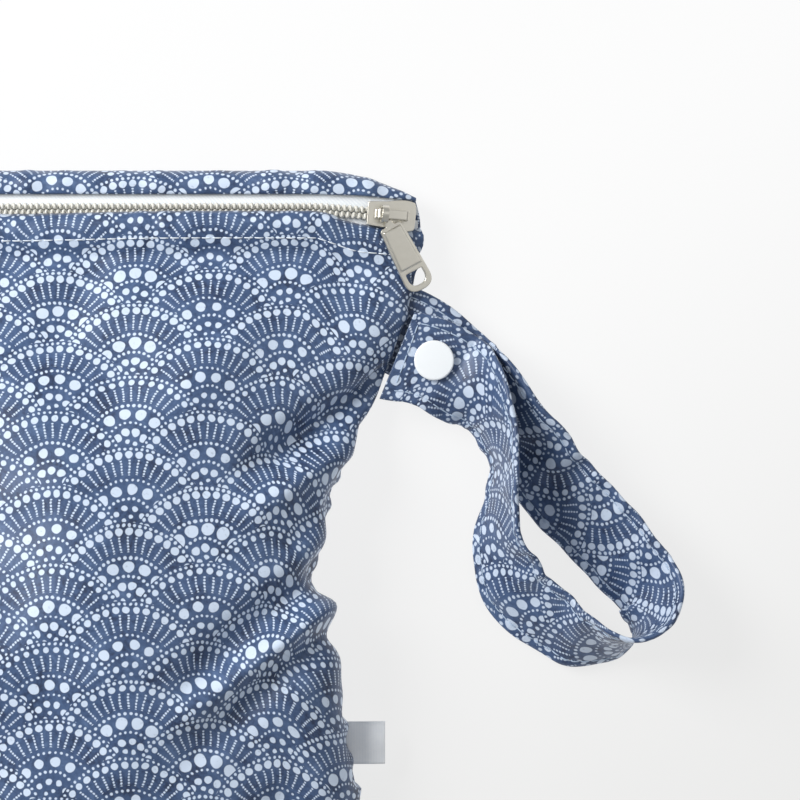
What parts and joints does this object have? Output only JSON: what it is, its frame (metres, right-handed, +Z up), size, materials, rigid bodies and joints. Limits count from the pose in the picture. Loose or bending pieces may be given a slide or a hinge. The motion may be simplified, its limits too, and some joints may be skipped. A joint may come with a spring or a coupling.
{
  "type": "cloth wet bag with zip and wrist strap",
  "caption": "Flat waterproof cloth pouch lying on its back, zipped across its top, with a snapped wrist strap loop and a side label.",
  "frame": {"origin": "on the flat underside of the back panel, on the middle line between the side seams at the zip's ends and halfway up the bag", "axes": "+X to the bag's right, where the strap is; +Y to the zipped top edge; +Z up from the surface the bag lies on"},
  "size_m": [0.2864, 0.2535, 0.0448],
  "materials": {
    "printed_cloth": "waterproof polyester knit, mottled denim blue with a white dotted scale print",
    "strap_cloth": "the same printed cloth, doubled and topstitched",
    "zip_tape": "white woven polyester tape",
    "zip_coil": "translucent white nylon coil",
    "slider_metal": "bright nickel-plated zinc casting",
    "snap_plastic": "glossy white moulded plastic",
    "label_satin": "white satin ribbon, bare"
  },
  "bodies": {
    "bag": {"back_panel": "printed_cloth", "front_panel": "printed_cloth", "top_band": "printed_cloth", "zip_tape_upper": "zip_tape", "zip_tape_lower": "zip_tape", "zip_coil_upper": "zip_coil", "zip_coil_lower": "zip_coil", "zip_slider": "slider_metal", "wrist_strap": "strap_cloth", "snap_cap": "snap_plastic", "snap_core": "snap_plastic", "snap_back": "snap_plastic", "side_label": "label_satin"},
    "pull": {"zip_pull": "slider_metal"}
  },
  "joints": [
    {"name": "pull_hinge", "type": "hinge", "parent": "bag", "child": "pull", "pos_m": [0.09482, 0.11523, 0.01587], "axis": [-0.9825, 0.0792, 0.1686], "range_deg": [0, 160]}
  ]
}
